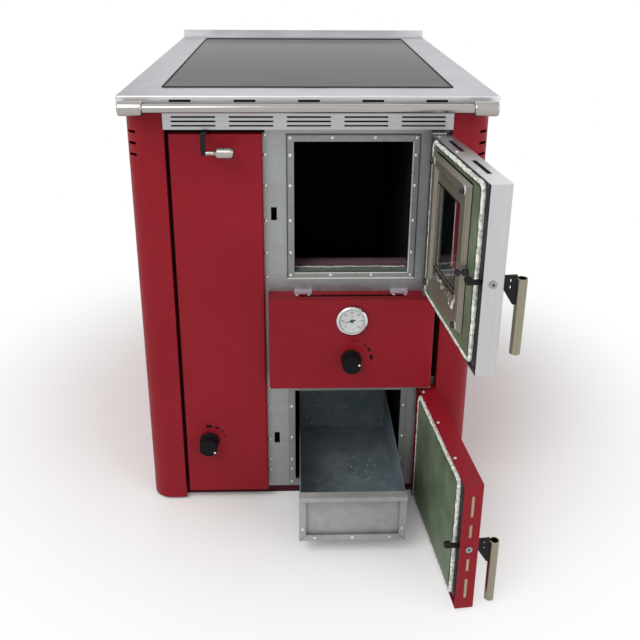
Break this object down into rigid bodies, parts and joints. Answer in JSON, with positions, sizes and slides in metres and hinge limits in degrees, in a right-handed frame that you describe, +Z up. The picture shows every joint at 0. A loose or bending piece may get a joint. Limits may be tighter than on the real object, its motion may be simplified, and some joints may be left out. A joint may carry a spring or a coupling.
{
  "type": "boiler stove",
  "caption": "Free-standing wood-burning boiler stove with glass hob, hinged fire and ash doors, pull-out ash drawer, thermometer, air knobs, damper pull and towel rail.",
  "frame": {"origin": "on the floor under the middle of the base", "axes": "+Z up, front with doors and controls towards -Y, hinges on the +X side of the doors"},
  "size_m": [0.67, 1.248, 0.881],
  "materials": {
    "red_enamel": "satin red enamel on sheet steel",
    "dark_red_paint": "dull dark red paint",
    "galvanised_steel": "dull grey zinc-coated sheet",
    "stainless_steel": "brushed stainless steel",
    "hob_glass": "polished black ceramic glass",
    "seal_rubber": "soft black seal",
    "boiler_steel": "matt black heat-proof paint on steel",
    "cast_iron": "rough cast iron",
    "lining_paint": "grey-green heat-proof paint",
    "rope_seal": "white braided glass-fibre rope",
    "clear_glass": "clear polished glass",
    "chrome": "polished chrome",
    "dial_paint": "matt white dial",
    "knob_plastic": "fine-grained black plastic"
  },
  "bodies": {
    "stove": {"left_side_panel": "red_enamel", "right_side_panel": "red_enamel", "left_front_panel": "red_enamel", "control_panel": "red_enamel", "control_panel_tabs": "galvanised_steel", "base_tray": "dark_red_paint", "rear_panel": "galvanised_steel", "front_plate": "galvanised_steel", "firebox_trim": "galvanised_steel", "ash_trim": "galvanised_steel", "vent_grille": "stainless_steel", "worktop_frame": "stainless_steel", "rear_upstand": "stainless_steel", "hob_seal": "seal_rubber", "hob_glass": "hob_glass", "rail_tube": "stainless_steel", "rail_sockets": "stainless_steel", "rail_posts": "stainless_steel", "boiler_left_jacket": "boiler_steel", "boiler_right_jacket": "boiler_steel", "boiler_rear_exchanger": "boiler_steel", "boiler_front_jacket": "boiler_steel", "fire_sill": "lining_paint", "smoke_box": "boiler_steel", "ash_floor": "boiler_steel", "fire_grate": "cast_iron", "flue_spigot": "boiler_steel", "water_sockets": "boiler_steel", "gauge_case": "chrome", "gauge_dial": "dial_paint", "gauge_glass": "clear_glass", "fire_hinge_brackets": "galvanised_steel", "ash_hinge_brackets": "galvanised_steel"},
    "fire_door": {"fire_door_tray": "stainless_steel", "fire_door_inner_tray": "boiler_steel", "fire_door_plate": "lining_paint", "fire_door_gasket": "rope_seal", "fire_door_glass": "clear_glass", "fire_door_glass_frame": "stainless_steel", "fire_pivot_screw": "galvanised_steel"},
    "ash_door": {"ash_door_tray": "red_enamel", "ash_door_inner_tray": "boiler_steel", "ash_door_plate": "lining_paint", "ash_door_gasket": "rope_seal", "ash_pivot_screw": "galvanised_steel"},
    "fire_latch": {"fire_lever": "boiler_steel", "fire_handle": "stainless_steel"},
    "ash_latch": {"ash_lever": "boiler_steel", "ash_handle": "stainless_steel"},
    "ash_drawer": {"drawer_box": "galvanised_steel", "drawer_front": "galvanised_steel"},
    "control_knob": {"control_knob": "knob_plastic", "control_shutter": "boiler_steel"},
    "left_knob": {"left_knob": "knob_plastic", "left_shutter": "boiler_steel"},
    "damper": {"damper_bar": "boiler_steel", "damper_grip": "stainless_steel", "damper_plate": "boiler_steel"},
    "needle": {"gauge_needle": "knob_plastic"}
  },
  "joints": [
    {"name": "fire_door_hinge", "type": "hinge", "parent": "stove", "child": "fire_door", "pos_m": [0.234, -0.438, 0.636], "axis": [0, 0, 1], "range_deg": [-96, 14]},
    {"name": "ash_door_hinge", "type": "hinge", "parent": "stove", "child": "ash_door", "pos_m": [0.234, -0.438, 0.139], "axis": [0, 0, 1], "range_deg": [-96, 14]},
    {"name": "ash_drawer_slide", "type": "slide", "parent": "stove", "child": "ash_drawer", "axis": [0, -1, 0], "range_m": [-0.365, 0.0535]},
    {"name": "fire_latch_pivot", "type": "hinge", "parent": "fire_door", "child": "fire_latch", "pos_m": [0.26923, -0.73494, 0.636], "axis": [0.1045, -0.9945, 0], "range_deg": [-6, 15]},
    {"name": "ash_latch_pivot", "type": "hinge", "parent": "ash_door", "child": "ash_latch", "pos_m": [0.26923, -0.73494, 0.139], "axis": [0.1045, -0.9945, 0], "range_deg": [-6, 15]},
    {"name": "control_knob_turn", "type": "hinge", "parent": "stove", "child": "control_knob", "pos_m": [0.083, -0.461, 0.349], "axis": [0, -1, 0], "range_deg": [0, 90]},
    {"name": "left_knob_turn", "type": "hinge", "parent": "stove", "child": "left_knob", "pos_m": [-0.2035, -0.439, 0.147], "axis": [0, -1, 0], "range_deg": [0, 125]},
    {"name": "damper_slide", "type": "slide", "parent": "stove", "child": "damper", "axis": [0, -1, 0], "range_m": [0, 0.06]},
    {"name": "needle_turn", "type": "hinge", "parent": "stove", "child": "needle", "pos_m": [0.083, -0.4649, 0.433], "axis": [0, 1, 0], "range_deg": [-30, 240], "stiffness_Nm_per_rad": 0.002}
  ],
  "couplings": [
    {"joint": "ash_drawer_slide", "follows": "ash_door_hinge", "m_per_rad": 0.21772}
  ]
}
